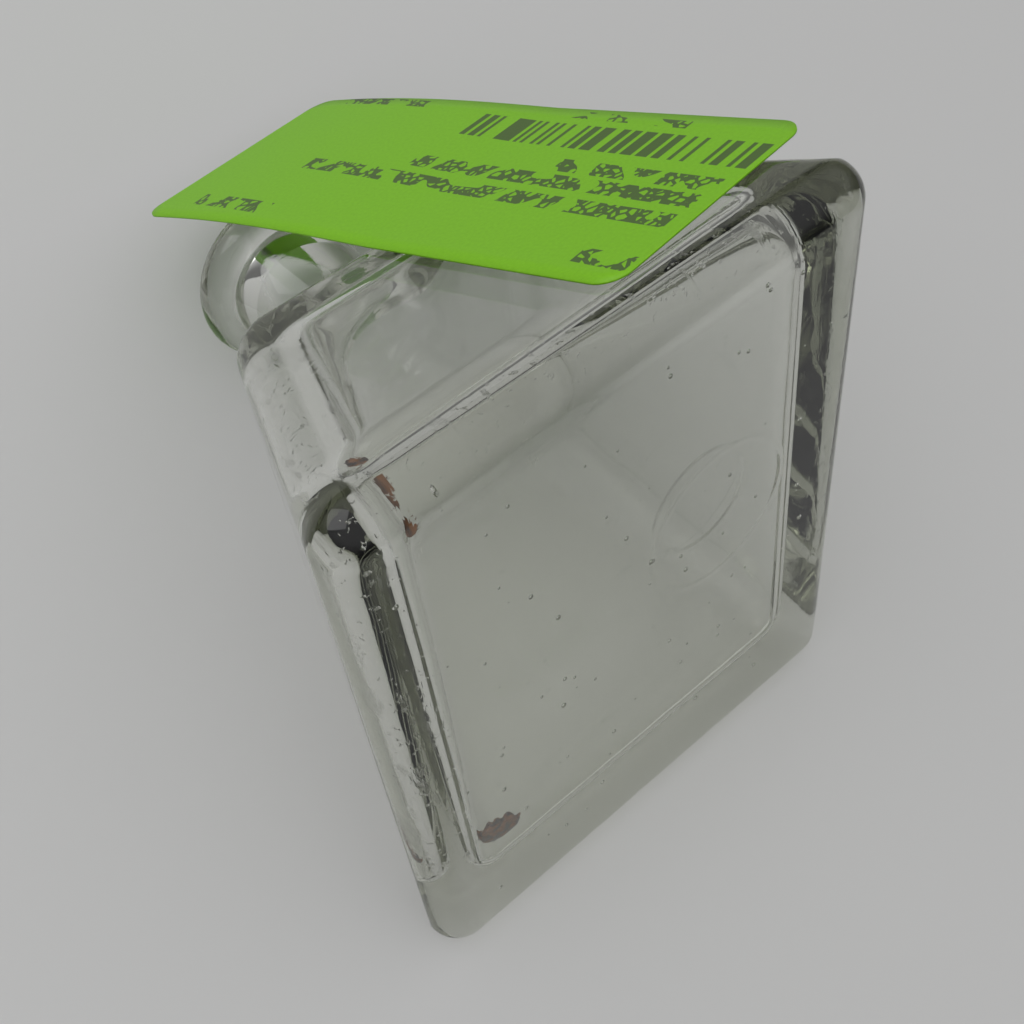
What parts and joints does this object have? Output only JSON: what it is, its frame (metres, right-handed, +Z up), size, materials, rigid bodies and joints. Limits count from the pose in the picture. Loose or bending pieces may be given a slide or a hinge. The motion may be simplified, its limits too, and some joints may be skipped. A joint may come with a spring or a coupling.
{
  "type": "ink bottle",
  "caption": "Small clear glass ink bottle with a rectangular base, a sloped pen-rest front and a round neck with a ring lip, lying on its side with a green paper sticker.",
  "frame": {"origin": "middle of the object's bounding box, on the surface that the bottle lies on", "axes": "+Z up from the surface, +Y from the base towards the lip, X across the bottle; the bottle lies on its lip and front heel with its base facing -Y and up"},
  "size_m": [0.0506, 0.0754, 0.054],
  "materials": {
    "clear_glass": "clear pressed glass with a faint grey-green tint, seeds and wear scratches",
    "sticker_paper": "matt fluorescent green paper with grey print bars",
    "dried_ink": "dull brown-black dried ink"
  },
  "bodies": {
    "root": {"glass_bottle": "clear_glass", "paper_sticker": "sticker_paper", "ink_flake": "dried_ink", "ink_crust": "dried_ink"}
  },
  "joints": []
}
